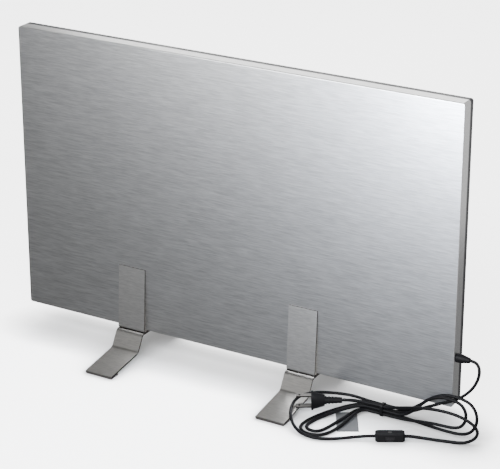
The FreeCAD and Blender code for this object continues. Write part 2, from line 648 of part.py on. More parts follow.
def build_switch():
    """In-line rotary switch: two shells, a thumb wheel on a pivot screw, and its contacts."""
    long, wide = "switch_length / 2", "switch_width / 2"
    short, narrow = "switch_length / 2 - switch_end_chamfer", "switch_width / 2 - switch_end_chamfer"
    corners = [("-(%s)" % short, "-" + wide), (short, "-" + wide), (long, "-(%s)" % narrow), (long, narrow),
               (short, wide), ("-(%s)" % short, wide), ("-" + long, narrow), ("-" + long, "-(%s)" % narrow)]
    middle = "switch_height / 2"
    room = "wheel_thickness / 2 + wheel_gap"
    pocket_x = "(switch_length / 2 - contact_inset - contact_length)"

    for name, label, back in (("Lower", "switch_lower_shell", True), ("Upper", "switch_upper_shell", False)):
        half = padded("Switch" + name, "XY_Plane", corners, middle, back=back)
        ends = half.Tip.Shape.BoundBox
        skin = ends.ZMin if back else ends.ZMax
        round_edges(half, "switch_edge_radius", lambda edge: near(edge.BoundBox.ZMin, skin) and near(
            edge.BoundBox.ZMax, skin))
        well = rod("SwitchWell" + name, "0", "0", "-(%s)" % room, "wheel_radius + wheel_gap", "2 * (%s)" % room)
        tools = [well]
        if back:
            tools.append(rod("PivotThread", "0", "0", "-pivot_depth", "pivot_radius + snug_gap", "pivot_depth"))
            tools += [box("ContactPocket%d" % i, x, "-contact_width / 2", "-contact_depth", "contact_length",
                          "contact_width", "contact_depth + cut_overrun")
                      for i, x in enumerate((pocket_x, "-%s - contact_length" % pocket_x))]
        else:
            tools.append(rod("PivotHole", "0", "0", "0", "pivot_radius + snug_gap", "switch_height"))
            tools.append(rod("PivotSink", "0", "0", middle + " - pivot_head_height", "pivot_head_radius + snug_gap",
                             "switch_height"))
        node(switch_place(cut("Switch%sShell" % name, half, *tools), middle), label)

    disc = rod("WheelDisc", "0", "0", "-wheel_thickness / 2", "wheel_radius", "wheel_thickness")
    hole = rod("WheelHole", "0", "0", "-wheel_thickness", "pivot_radius + snug_gap", "2 * wheel_thickness")
    count = int(num("wheel_notches"))
    notches = [rod("WheelNotch%d" % i, "wheel_radius * cos(360 * %d / %d)" % (i, count),
                   "wheel_radius * sin(360 * %d / %d)" % (i, count), "-wheel_thickness", "wheel_notch_radius",
                   "2 * wheel_thickness") for i in range(count)]
    node(switch_place(cut("SwitchWheel", disc, hole, *notches), middle), "switch_wheel")

    shank = rod("PivotShank", "0", "0", "-pivot_depth", "pivot_radius", "pivot_depth + switch_height / 2 - pivot_head_height")
    head = rod("PivotHead", "0", "0", middle + " - pivot_head_height", "pivot_head_radius", "pivot_head_height")
    node(switch_place(fuse("SwitchScrew", shank, head), middle), "switch_screw")

    strips = []
    for i, x in enumerate((pocket_x, "-%s - contact_length" % pocket_x)):
        foot = box("ContactFoot%d" % i, x + " + snug_gap", "-contact_width / 2 + snug_gap", "-contact_depth",
                   "contact_length - 2 * snug_gap", "contact_width - 2 * snug_gap", "contact_thickness")
        side = x if i else x + " + contact_length - contact_thickness - snug_gap"
        wall = box("ContactWall%d" % i, side + (" + snug_gap" if i else ""), "-contact_width / 2 + snug_gap",
                   "-contact_depth", "contact_thickness", "contact_width - 2 * snug_gap", "contact_depth - snug_gap")
        strips.append(fuse("Contact%d" % i, foot, wall))
    node(switch_place(group("SwitchContacts", *strips), middle), "switch_contacts")


def plug_turn():
    return Rotation(Vector(0, 0, 1), num("plug_turn")).multiply(Rotation(Vector(0, 1, 0), num("plug_tilt")))


def plug_place(thing):
    """Sets a piece of the plug, built along X from its front face, where the plug lies."""
    return place(thing, "plug_x", "plug_y", "plug_z", plug_turn())


def oval(name, x, height, width):
    """An upright oval section of the plug, square to its axis."""
    ring = bind(doc.addObject("Part::Ellipse", name), MajorRadius=height + " / 2", MinorRadius=width + " / 2")
    return place(ring, x, turn=Rotation(Vector(0, 1, 0), -90))


def build_plug():
    """Plug with an oval flange, a tapered body, a ribbed relief and two flat blades."""
    flange = doc.addObject("Part::Extrusion", "PlugFlange")
    flange.Base = oval("FlangeOval", "0", "plug_flange_height", "plug_flange_width")
    flange.DirMode = "Custom"
    flange.Dir = Vector(1, 0, 0)
    flange.Solid = True
    bind(flange, LengthFwd="plug_flange_thickness")

    share = PLUG_MIDDLE_SHARE
    taper = doc.addObject("Part::Loft", "PlugTaper")
    taper.Sections = [
        oval("TaperStart", "plug_flange_thickness", "(plug_flange_height - plug_flange_thickness)",
             "(plug_flange_width - plug_flange_thickness)"),
        oval("TaperMiddle", "plug_body_length * %g" % share,
             "(plug_flange_height * %g + plug_waist_height * %g)" % (1 - share, share),
             "(plug_flange_width * %g + plug_waist_width * %g)" % (1 - share, share)),
        oval("TaperEnd", "plug_body_length", "plug_waist_height", "plug_waist_width"),
    ]
    taper.Solid = True

    ribs = int(num("relief_ribs"))
    pitch = "relief_length / %d" % (2 * ribs)
    corners = [("plug_body_length", "0")]
    for i in range(2 * ribs):
        radius = "(relief_root_radius - (relief_root_radius - relief_tip_radius) * %d / %d)" % (i, 2 * ribs - 1)
        if i % 2:
            radius += " - relief_groove_depth * %d / %d" % (2 * ribs - 1 - i, 2 * ribs - 2)
        corners += [("plug_body_length + %s * %d" % (pitch, i), radius),
                    ("plug_body_length + %s * %d" % (pitch, i + 1), radius)]
    corners.append(("plug_body_length + relief_length", "0"))
    corners = [corner for i, corner in enumerate(corners) if corner not in corners[:i]]
    relief = turned("PlugRelief", corners)

    moulded = fuse("PlugMoulding", flange, taper, relief)
    slots = []
    for name, label, sign, width in (("Live", "plug_live_blade", "", "blade_width"),
                                     ("Neutral", "plug_neutral_blade", "-", "blade_wide")):
        height = "%sblade_spacing / 2" % sign
        size = ("-%s / 2" % width, height + " - blade_thickness / 2", "blade_length + blade_root", width,
                "blade_thickness")
        blank = box(name + "Blank", "-blade_length", *size)
        hole = rod(name + "Hole", "-blade_length + blade_hole_inset", "0", height + " - blade_thickness",
                   "blade_hole_radius", "2 * blade_thickness")
        slots.append(box(name + "Slot", "-blade_length", *size))
        node(plug_place(cut(name + "Blade", blank, hole)), label)
    node(plug_place(cut("PlugBody", moulded, *slots)), "plug_body")


def rounded_path(points):
    """Straight runs joined by tangent arcs, each as large as its two runs allow."""
    edges, radii, start = [], [], points[0]
    for before, here, after in zip(points, points[1:], points[2:]):
        back, ahead = before - here, after - here
        turn = math.pi - back.getAngle(ahead)
        reach = RUN_SHARE * min(back.Length, ahead.Length)
        radius = reach / math.tan(turn / 2)
        back, ahead = back.normalize(), ahead.normalize()
        first, last = here + back * reach, here + ahead * reach
        inward = (back + ahead).normalize()
        middle = here + inward * (radius / math.cos(turn / 2) - radius)
        edges += [Part.LineSegment(start, first).toShape(), Part.Arc(first, middle, last).toShape()]
        radii.append(radius)
        start = last
    edges.append(Part.LineSegment(start, points[-1]).toShape())
    return edges, radii


def arc_edge(start, corner, end):
    """The arc that leaves start towards corner and arrives at end from corner, both as far from it."""
    back, ahead = (start - corner).normalize(), (end - corner).normalize()
    turn = math.pi - back.getAngle(ahead)
    reach = (start - corner).Length
    if turn < Part.Precision.angular():
        return Part.LineSegment(start, end).toShape(), float("inf")
    radius = reach / math.tan(turn / 2)
    middle = corner + (back + ahead).normalize() * (radius / math.cos(turn / 2) - radius)
    return Part.Arc(start, middle, end).toShape(), radius


def biarc(start, leaving, end, arriving):
    """Two arcs that join two points with given directions."""
    span = end - start
    along = span.dot(leaving + arriving)
    spread = 2 * (1 - leaving.dot(arriving))
    if spread < Part.Precision.angular():
        reach = span.Length ** 2 / (4 * span.dot(leaving))
    else:
        reach = (-along + math.sqrt(along ** 2 + spread * span.Length ** 2)) / spread
    near_corner, far_corner = start + leaving * reach, end - arriving * reach
    joint = (near_corner + far_corner) * 0.5
    return [arc_edge(start, near_corner, joint), arc_edge(joint, far_corner, end)]


def tube(label, edges):
    """A round cord along a path of lines and arcs, with its volume compared with its length."""
    wire = Part.Wire(edges)
    radius = num("cord_radius")
    start = edges[0].valueAt(edges[0].FirstParameter)
    ahead = edges[0].tangentAt(edges[0].FirstParameter)
    section = Part.Wire(Part.Circle(start, ahead, radius).toShape())
    solid = wire.makePipeShell([section], True, False)
    expected = math.pi * radius ** 2 * wire.Length
    print("%s: length %.1f, volume over section times length %.4f" % (label, wire.Length, solid.Volume / expected))
    cord = doc.addObject("Part::Feature", label.title().replace("_", ""))
    cord.Shape = solid
    node(cord, label)
    return wire


def strand(row, column, end):
    """A point at one end of the waist, where a strand of a row and column lies."""
    x = num("waist_x") + end * num("waist_half")
    y = num("waist_y") + (column - 0.5) * num("waist_column")
    z = num("cord_radius + floor_gap + waist_lift") + row * num("waist_row")
    return Vector(x, y, z)


def hank_edges():
    """Two turns wound through the waist, each a lobe on the left and a lobe on the right."""
    west, east = Vector(-1, 0, 0), Vector(1, 0, 0)
    floor = num("cord_radius + floor_gap")
    heading = math.radians(num("left_lobe_turn"))
    out = Vector(math.cos(heading), math.sin(heading), 0)
    across = Vector(out.y, -out.x, 0)
    edges, radii = [], []

    def add(pieces):
        for edge, radius in pieces:
            edges.append(edge)
            radii.append(radius)

    def lobe(start, leaving, centre, ahead, side, radius, end, arriving):
        near_side, far_side = centre + side * radius, centre - side * radius
        tip = centre + ahead * radius
        add(biarc(start, leaving, near_side, ahead))
        add([(Part.Arc(near_side, centre + (side + ahead).normalize() * radius, tip).toShape(), radius),
             (Part.Arc(tip, centre + (ahead - side).normalize() * radius, far_side).toShape(), radius)])
        add(biarc(far_side, ahead * -1, end, arriving))

    def through(start, end):
        add([(Part.LineSegment(start, end).toShape(), float("inf"))])

    turns = [
        # Waist strands as (row, column): in from the right, back from the left lobe, in from the right lobe.
        ("outer", "inner", (1, 1), (0, 0), (1, 0)),
        ("inner", "outer", (1, 0), (0, 1), (2, 1)),
    ]
    for left, right, entry, back, following in turns:
        if not edges:
            through(strand(*entry, 1), strand(*entry, -1))
        radius = num("left_lobe_%s_radius" % left)
        centre = Vector(num("left_lobe_%s_x" % left), num("left_lobe_%s_y" % left), floor)
        lobe(strand(*entry, -1), west, centre, out, across, radius, strand(*back, -1), east)
        through(strand(*back, -1), strand(*back, 1))
        radius = num("right_lobe_%s_radius" % right)
        step = num("right_lobe_step") if right == "inner" else 0
        up = Vector(0, math.sin(math.radians(num("right_lobe_lean"))), math.cos(math.radians(num("right_lobe_lean"))))
        centre = Vector(num("right_lobe_%s_x" % right), num("right_lobe_y") - step,
                        floor + num("right_lobe_%s_lift" % right) + radius * up.z)
        lobe(strand(*back, 1), east, centre, east, up * -1, radius, strand(*following, 1), west)
        through(strand(*following, 1), strand(*following, -1))
    return edges, radii


def samples(wire, step):
    return wire.discretize(Number=max(2, int(wire.Length / step)))


def least_gap(first, second, skip):
    """Least gap between two sampled cords and where it is; points closer than skip along one cord don't count."""
    best, spot = float("inf"), None
    for i, one in enumerate(first):
        for k, other in enumerate(second):
            if first is second and k - i < skip:
                continue
            if (one - other).Length < best:
                best, spot = (one - other).Length, (one + other) * 0.5
    return best - 2 * num("cord_radius"), spot


def build_cord():
    """The cord from the boot to the plug: lead, hank, and the stretches on both sides of the switch."""
    gland = Vector(num(SIDE + " + boot_length"), num(GLAND_Y), num(GLAND_Z))
    switch = Placement(Vector(num("switch_x"), num("switch_y"), num("floor_gap + switch_height / 2")),
                       Rotation(Vector(0, 0, 1), num("switch_turn")))
    plug = Placement(Vector(num("plug_x"), num("plug_y"), num("plug_z")), plug_turn())
    straight = 2 * num("cord_radius")
    half = num("switch_length / 2")
    relief_end = num("plug_body_length + relief_length")

    lead = [gland] + [Vector(*point) for point in LEAD_ROUTE] + [strand(1, 1, 1)]
    left = [strand(2, 1, -1)] + [Vector(*point) for point in LEFT_ROUTE]
    left += [switch.multVec(Vector(-half - 2 * straight, 0, 0)), switch.multVec(Vector(-half, 0, 0))]
    right = [switch.multVec(Vector(half, 0, 0)), switch.multVec(Vector(half + 2 * straight, 0, 0))]
    right += [Vector(*point) for point in RIGHT_ROUTE] + [strand(2, 0, 1), strand(2, 0, -1)]
    right += [Vector(*point) for point in PLUG_ROUTE]
    right += [plug.multVec(Vector(relief_end + 2 * straight, 0, 0)), plug.multVec(Vector(relief_end, 0, 0))]

    wires = {}
    for label, points in (("cord_lead", lead), ("cord_left", left), ("cord_right", right)):
        edges, radii = rounded_path(points)
        print("%s: radii %s" % (label, " ".join("%.0f" % radius for radius in radii)))
        print("%s: points %s" % (label, [tuple(round(c, 1) for c in point) for point in points]))
        wires[label] = tube(label, edges)
    edges, radii = hank_edges()
    print("cord_hank: least radius %.1f" % min(radii))
    wires["cord_hank"] = tube("cord_hank", edges)

    step = num("cord_radius") / 2
    points = {label: samples(wire, step) for label, wire in wires.items()}
    skip = int(8 * num("cord_radius") / step)
    labels = sorted(points)
    for i, one in enumerate(labels):
        print("least gap of %s: %.2f at %s" % ((one,) + least_gap(points[one], points[one], skip)))
        for other in labels[i + 1:]:
            gap = least_gap(points[one][skip:-skip], points[other][skip:-skip], skip)
            print("least gap of %s and %s: %.2f at %s" % ((one, other) + gap))
    print("whole cord %.0f" % sum(wire.Length for wire in wires.values()))


def build_tie_and_tag():
    """Twist tie round the waist of the hank, and the blank flag under it."""
    def bar(name, extra, length):
        half = "(waist_column / 2 + cord_radius + %s)" % extra
        low = "floor_gap + waist_lift - (%s)" % extra
        high = "floor_gap + waist_lift + 2 * cord_radius + 2 * waist_row + " + extra
        corners = [("-" + half, low), (half, low), (half, high), ("-" + half, high)]
        body = padded(name, "YZ_Plane", corners, length, "Symmetric")
        round_edges(body, "cord_radius + " + extra, lambda edge: runs_along(edge, Vector(1, 0, 0)))
        return place(body, "waist_x", "waist_y")
    band = bar("TieBlank", "tie_gap + tie_thickness", "tie_width")
    node(cut("CordTie", band, bar("TieBore", "tie_gap", "tie_width + 2 * cut_overrun")), "cord_tie")

    flag = box("CordTag", "-tag_width / 2", "-tag_length / 2", "0", "tag_width", "tag_length", "tag_thickness")
    turned_flag = group("TurnedTag", flag)
    place(turned_flag, "tag_x", "tag_y", "0", Rotation(Vector(0, 0, 1), num("tag_turn")))
    node(turned_flag, "cord_tag")


build_casing()
build_layers()
build_wiring()
build_boot()
for leg_side in ("left", "right"):
    build_leg(leg_side)
build_switch()
build_plug()
build_cord()
build_tie_and_tag()
doc.recompute()

for thing in doc.Objects:
    if "Invalid" in thing.State or "Error" in thing.State:
        raise RuntimeError("%s is %s" % (thing.Label, thing.State))
for thing in nodes:
    if thing.Shape.isNull() or not thing.Shape.isValid() or not thing.Shape.Solids:
        raise RuntimeError("%s has no valid shape" % thing.Label)

os.makedirs("parts", exist_ok=True)
for thing in nodes:
    thing.Shape.exportStep("parts/%s.step" % thing.Label)
print("%d pieces" % len(nodes))
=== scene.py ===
"""Looks of the panel heater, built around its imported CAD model.

A brushed metal panel stands on two clip-on legs. Its black cord is wound into a tied hank, with an in-line
rotary switch and a two-blade plug.
"""

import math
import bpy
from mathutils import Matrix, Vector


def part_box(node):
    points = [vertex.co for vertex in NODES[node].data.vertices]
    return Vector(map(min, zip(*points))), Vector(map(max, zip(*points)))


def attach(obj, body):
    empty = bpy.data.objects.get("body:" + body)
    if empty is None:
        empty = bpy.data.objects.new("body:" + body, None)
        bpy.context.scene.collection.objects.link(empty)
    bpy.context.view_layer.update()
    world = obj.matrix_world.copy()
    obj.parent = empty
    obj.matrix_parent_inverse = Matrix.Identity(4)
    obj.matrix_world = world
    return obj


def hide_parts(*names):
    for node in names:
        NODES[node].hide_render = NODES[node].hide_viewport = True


bl_info = {
    "name": "Panel Heater",
    "version": (1, 0, 0),
    "blender": (4, 5, 0),
    "location": "View3D > Sidebar > Heater",
    "description": "Dresses the packed panel heater with its finishes, cord, fasteners and studio",
    "category": "Object",
}

import bmesh
import bpy
from bpy.props import FloatProperty, FloatVectorProperty, IntProperty, PointerProperty
from mathutils import Vector

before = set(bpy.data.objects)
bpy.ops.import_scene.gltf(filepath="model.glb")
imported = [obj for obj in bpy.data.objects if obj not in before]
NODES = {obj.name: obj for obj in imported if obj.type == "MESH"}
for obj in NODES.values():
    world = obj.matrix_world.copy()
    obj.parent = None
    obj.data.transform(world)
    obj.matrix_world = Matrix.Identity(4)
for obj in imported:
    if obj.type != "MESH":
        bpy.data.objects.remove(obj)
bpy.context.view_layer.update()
MM = 0.001

# Finishes: where the values of a noise mostly lie, how high its relief is, and how far it changes roughness and tone.
NOISE_SPAN = (0.3, 0.7)
COARSE_SHARE = 0.2
GRAIN_HEIGHT = 0.05 * MM
GRAIN_ROUGHNESS = 0.012
SPECK_HEIGHT = 0.08 * MM
MOTTLE_ROUGHNESS = 0.06
MOTTLE_CONTRAST = 0.12

# How much paler the wheel is than the shells of the switch.
WHEEL_SHARE = 1.6

# Faces of a strip that get painted shade: its cut edges, which look along X, and its faces that lie this close to its
# highest face.
SHADE_EDGE_FACING = 0.9
SHADE_TOP_SLACK = 0.05 * MM

# Outlines of the fasteners from their axis outwards, in shares of their radius and height.
SCREW_HEAD = [(1.0, 0.0), (1.0, 0.45), (0.92, 0.75), (0.72, 0.93), (0.4, 1.0), (0.0, 1.0)]
SCREW_SHANK = 0.52
SCREW_TIP = 0.9
CROSS_RECESS = {"length": 1.15, "width": 0.26, "depth": 0.6}
RIVET_DOME = [(0.0, 0.0), (0.45, 0.08), (0.8, 0.38), (1.0, 0.95), (1.0, 1.0)]
RIVET_SHANK = 0.57
STRIP_THICKNESS = 2.0 * MM

# Studio. Glossy rays meet a room that brightens along a direction, between two cosines.
GLEAM_WAY = (0.88, 0.39, 0.02)
GLEAM_SPAN = (-0.42, 0.3)

# A grey card lies on the floor behind the cord's side: its near left and far right corner.
CARD_CORNERS = ((0.281, -0.25), (0.7, 0.52))
CARD_HEIGHT = 1.0 * MM

# The panel's layers. The feet don't mirror them, so that their tone comes from the room.
PANEL_LAYERS = ("front_panel", "rear_cover", "inner_frame", "heating_film", "heating_track", "reflector_foil",
                "insulation_board")
FOOT_STRIPS = ("left_foot_strip", "right_foot_strip")
FACE_PIECES = ("front_panel", "left_spring_clip", "right_spring_clip")

# The softboxes, each with the pieces that it alone reaches or leaves out.
SOFTBOXES = [
    {"name": "FaceSoftbox", "power": "face_light", "place": (0.08, -0.8, 0.72), "aim": (0.08, 0.0, 0.72),
     "size": (1.13, 1.0), "tint": (0.98, 0.995, 1.02), "state": "EXCLUDE", "pieces": FOOT_STRIPS},
    {"name": "FootSoftbox", "power": "foot_light", "place": (-0.65, -1.2, 0.85), "aim": (0.0, 0.0, 0.0),
     "size": (0.5, 0.4), "tint": (1.0, 1.0, 1.0), "state": "INCLUDE", "pieces": FOOT_STRIPS},
    {"name": "CornerSoftbox", "power": "corner_light", "place": (0.21, -0.5, 0.38), "aim": (0.21, 0.0, 0.38),
     "size": (0.37, 0.37), "tint": (0.87, 0.95, 1.11), "state": "INCLUDE", "pieces": FACE_PIECES},
    {"name": "BackSoftbox", "power": "back_light", "place": (-0.6, 1.3, 1.0), "aim": (0.0, 0.0, 0.36),
     "size": (0.9, 0.6), "tint": (1.0, 1.0, 1.0), "state": "EXCLUDE", "pieces": FOOT_STRIPS},
]

# The cord's free stretches, as points from end to end, in millimetres.
LEAD_ROUTE = [
    (296.0, -5.5, 90.0), (302.0, -5.5, 90.0), (306.8, -6.3, 86.0), (308.6, -7.5, 79.0), (307.2, -8.9, 70.0),
    (303.0, -10.5, 61.0), (296.0, -11.6, 52.4), (287.0, -12.7, 45.0), (275.0, -13.5, 38.8), (262.0, -14.0, 32.6),
    (249.0, -13.6, 25.4), (236.0, -12.4, 17.8), (224.0, -10.9, 12.2), (213.0, -10.3, 9.7),
]
LEFT_ROUTE = [
    (180.0, -10.3, 14.3), (161.0, -6.5, 13.8), (147.0, -8.9, 14.2), (135.0, -14.8, 15.2), (125.4, -23.1, 17.0),
    (119.4, -30.9, 18.0), (112.9, -36.8, 17.0), (108.0, -42.1, 15.0), (106.4, -51.5, 11.8), (110.6, -65.1, 9.4),
    (116.6, -75.3, 8.0), (123.5, -83.7, 5.6), (132.4, -90.9, 3.6), (144.0, -96.1, 2.4), (157.0, -96.7, 2.2),
    (170.0, -92.3, 2.2), (183.0, -83.9, 2.6), (195.4, -75.1, 3.6), (208.5, -68.1, 5.05), (214.8, -64.6, 5.05),
]
RIGHT_ROUTE = [
    (242.6, -48.8, 5.05), (248.9, -45.3, 5.05), (266.0, -37.9, 2.8), (285.0, -32.1, 2.2), (301.6, -29.3, 3.0),
    (313.8, -28.7, 9.4), (319.4, -29.1, 18.4), (316.8, -29.9, 26.4), (308.0, -30.7, 32.2), (293.6, -31.3, 36.2),
    (274.4, -31.4, 36.6), (255.0, -30.1, 33.8), (237.6, -26.3, 28.0), (224.4, -20.9, 22.0), (213.6, -16.8, 17.6),
    (204.0, -14.7, 14.3), (192.0, -14.7, 14.3), (175.0, -19.9, 16.8), (162.8, -27.0, 18.6), (156.6, -30.6, 18.5),
]

# The hank's waist, where six strands lie in rows and columns, and its lobes, in millimetres and degrees.
WAIST = {"x": 198.0, "y": -12.5, "half": 6.0, "low": 5.1, "row": 4.6, "column": 4.4}
FLOOR_STRAND = 2.1
LEFT_HEADING = 258.5
LEFT_LOBES = {"outer": ((148.4, -72.9), 18.2), "inner": ((146.8, -72.0), 10.8)}
RIGHT_LEAN = 4.0
RIGHT_LOBES = {"outer": ((291.5, -18.1), 21.0, 5.0), "inner": ((285.5, -22.9), 16.2, 13.0)}
LOBE_CORNERS = 4
PARALLEL = 1e-6


class HeaterCamera(bpy.types.PropertyGroup):
    """Where the studio camera stands"""

    place: FloatVectorProperty(name="Place", description="Camera position", subtype="TRANSLATION", unit="LENGTH",
                               default=(1.0405, -1.7511, 1.0051))
    azimuth: FloatProperty(name="Azimuth", description="Angle round the heater from its front", subtype="ANGLE",
                           default=math.radians(30.2))
    elevation: FloatProperty(name="Elevation", description="Angle above the floor", subtype="ANGLE",
                             default=math.radians(22.23))
    lens: FloatProperty(name="Lens", description="Focal length in millimetres", default=141.1, min=10.0)


class HeaterStage(bpy.types.PropertyGroup):
    """Floor and studio lights"""

    floor_size: FloatProperty(name="Floor", description="Side of the square floor", unit="LENGTH", default=12.0)
    floor_tone: FloatProperty(name="Floor tone", description="How pale the floor is", default=0.92, min=0.0, max=1.0)
    floor_glow: FloatProperty(name="Floor glow", description="Light the floor gives by itself", default=4.0, min=0.0)
    # The floor's contact shade is painted into its glow.
    shade_reach: FloatProperty(name="Shade reach", description="How far contact shade spreads", unit="LENGTH",
                               default=0.06, min=0.0)
    shade_depth: FloatProperty(name="Shade depth", description="How fast contact shade deepens", default=9.0, min=0.0)
    card_glow: FloatProperty(name="Card glow", description="Light of the card that darkens the side's lower part",
                             default=0.235, min=0.0)
    room_light: FloatProperty(name="Room light", description="Light from the room around", default=0.35, min=0.0)
    gleam_low: FloatProperty(name="Low gleam", description="Darkest part of the room in the metal", default=0.115)
    gleam_high: FloatProperty(name="High gleam", description="Brightest part of the room in the metal", default=0.85)
    face_light: FloatProperty(name="Face light", description="Power of the softbox before the face", default=35.0)
    corner_light: FloatProperty(name="Corner light", description="Power of the softbox on the upper corner",
                                default=15.0)
    foot_light: FloatProperty(name="Foot light", description="Power of the softbox on the feet", default=0.9)
    back_light: FloatProperty(name="Back light", description="Power of the softbox behind", default=6.0)


class HeaterFinish(bpy.types.PropertyGroup):
    """Colours of the heater's finishes"""

    face: FloatVectorProperty(name="Face", description="Brushed metal of the panel", subtype="COLOR",
                              default=(0.715, 0.713, 0.705), min=0.0, max=1.0)
    leg: FloatVectorProperty(name="Legs", description="Satin silver of the legs", subtype="COLOR",
                             default=(0.625, 0.612, 0.588), min=0.0, max=1.0)
    # The leg edge tint is painted shade on the legs' cut edges and highest faces.
    edge: FloatVectorProperty(name="Leg edges", description="Dark cut edges of the legs", subtype="COLOR",
                              default=(0.016, 0.012, 0.01), min=0.0, max=1.0)
    rear: FloatVectorProperty(name="Rear cover", description="Dark paint of the rear cover", subtype="COLOR",
                              default=(0.045, 0.045, 0.05), min=0.0, max=1.0)
    cord: FloatVectorProperty(name="Cord", description="Black jacket of the cord", subtype="COLOR",
                              default=(0.006, 0.006, 0.007), min=0.0, max=1.0)
    plastic: FloatVectorProperty(name="Switch", description="Black plastic of the switch", subtype="COLOR",
                                 default=(0.012, 0.012, 0.013), min=0.0, max=1.0)
    paper: FloatVectorProperty(name="Flag", description="Grey paper of the flag", subtype="COLOR",
                               default=(0.105, 0.107, 0.11), min=0.0, max=1.0)


class HeaterCord(bpy.types.PropertyGroup):
    """Facts of the cord"""

    diameter: FloatProperty(name="Diameter", description="Diameter of the jacket", unit="LENGTH", default=0.0036)
    wound_length: FloatProperty(name="Wound length", description="Cord from the boot to the switch", unit="LENGTH",
                                default=1.372)
    plug_length: FloatProperty(name="Plug length", description="Cord from the switch to the plug", unit="LENGTH",
                               default=0.266)


class HeaterFasteners(bpy.types.PropertyGroup):
    """Sizes of screws and rivets"""

    columns: IntProperty(name="Columns", description="Screws along the rear cover's width", default=3, min=2)
    rows: IntProperty(name="Rows", description="Screws along the rear cover's height", default=3, min=2)
    inset: FloatProperty(name="Inset", description="From the cover's edge to a screw", unit="LENGTH", default=0.008)
    segments: IntProperty(name="Segments", description="Facets round a fastener", default=32, min=8)


# Shader groups and materials


def group_tree(name, inputs, outputs):
    """An empty shader group with named sockets."""
    tree = bpy.data.node_groups.new(name, "ShaderNodeTree")
    for label, kind, default in inputs:
        socket = tree.interface.new_socket(label, in_out="INPUT", socket_type=kind)
        if default is not None:
            socket.default_value = default
    for label, kind in outputs:
        tree.interface.new_socket(label, in_out="OUTPUT", socket_type=kind)
    return tree, tree.nodes.new("NodeGroupInput"), tree.nodes.new("NodeGroupOutput")


def add(tree, kind, inputs=None, **settings):
    """A node with its settings, and its inputs set to values or linked to sockets."""
    made = tree.nodes.new(kind)
    for name, value in settings.items():
        setattr(made, name, value)
    for name, value in (inputs or {}).items():
        if isinstance(value, bpy.types.NodeSocket):
            tree.links.new(value, made.inputs[name])
        else:
            made.inputs[name].default_value = value
    return made


def level_mix(tree, factor, low, high):
    """A number between two, by a factor: a Mix node has its numbers in sockets 2, 3 and 0."""
    return add(tree, "ShaderNodeMix", {"Factor": factor, 2: low, 3: high}).outputs[0]


def brushed_grain_group():
    """Fine lines drawn out along X: a shade and a height that change across the grain."""
    found = bpy.data.node_groups.get("BrushedGrain")
    if found:
        return found
    tree, into, out = group_tree(
        "BrushedGrain",
        [("Vector", "NodeSocketVector", None), ("Lines", "NodeSocketFloat", 1400.0),
         ("Stretch", "NodeSocketFloat", 60.0)],
        [("Shade", "NodeSocketFloat"), ("Height", "NodeSocketFloat")])
    across = into.outputs["Lines"]
    along = add(tree, "ShaderNodeMath", {0: across, 1: into.outputs["Stretch"]}, operation="DIVIDE")
    scale = add(tree, "ShaderNodeCombineXYZ", {0: along.outputs[0], 1: across, 2: across})
    spot = add(tree, "ShaderNodeVectorMath", {0: into.outputs["Vector"], 1: scale.outputs[0]}, operation="MULTIPLY")
    fine = add(tree, "ShaderNodeTexNoise", {"Vector": spot.outputs[0], "Scale": 1.0, "Detail": 2.0, "Roughness": 0.6})
    coarse = add(tree, "ShaderNodeTexNoise", {"Vector": spot.outputs[0], "Scale": 0.45, "Detail": 1.0})
    tree.links.new(level_mix(tree, COARSE_SHARE, fine.outputs["Fac"], coarse.outputs["Fac"]), out.inputs["Shade"])
    tree.links.new(fine.outputs["Fac"], out.inputs["Height"])
    return tree


def soft_mottle_group():
    """Slow change of tone over a surface, with fine specks on it."""
    found = bpy.data.node_groups.get("SoftMottle")
    if found:
        return found
    tree, into, out = group_tree(
        "SoftMottle",
        [("Vector", "NodeSocketVector", None), ("Broad", "NodeSocketFloat", 25.0),
         ("Fine", "NodeSocketFloat", 1500.0)],
        [("Tone", "NodeSocketFloat"), ("Speck", "NodeSocketFloat")])
    broad = add(tree, "ShaderNodeTexNoise", {"Vector": into.outputs["Vector"], "Scale": into.outputs["Broad"],
                                             "Detail": 3.0})
    fine = add(tree, "ShaderNodeTexNoise", {"Vector": into.outputs["Vector"], "Scale": into.outputs["Fine"],
                                            "Detail": 2.0})
    tree.links.new(broad.outputs["Fac"], out.inputs["Tone"])
    tree.links.new(fine.outputs["Fac"], out.inputs["Speck"])
    return tree


def material(name):
    """A material with its tree and its shader."""
    made = bpy.data.materials.new(name)
    made.use_nodes = True
    return made, made.node_tree, made.node_tree.nodes["Principled BSDF"]


def noise_group(tree, group, **values):
    """A group of noises that follows the piece, with its values."""
    made = add(tree, "ShaderNodeGroup", node_tree=group)
    tree.links.new(add(tree, "ShaderNodeTexCoord").outputs["Object"], made.inputs["Vector"])
    for name, value in values.items():
        made.inputs[name].default_value = value
    return made.outputs


def shaded(tint, share):
    """A tint made darker or lighter by a share."""
    return tuple(min(1.0, part * share) for part in tint) + (1.0,)


def tone_mix(tree, factor, low, high):
    """A colour between two, by a factor: a Mix node has its colours in sockets 6, 7 and 2."""
    return add(tree, "ShaderNodeMix", {"Factor": factor, 6: low, 7: high}, data_type="RGBA").outputs[2]


def spread(tree, factor, low, high):
    """A number between two, by a noise factor that keeps near its middle."""
    ranged = add(tree, "ShaderNodeMapRange", {"Value": factor, "From Min": NOISE_SPAN[0], "From Max": NOISE_SPAN[1],
                                              "To Min": low, "To Max": high})
    return ranged.outputs["Result"]


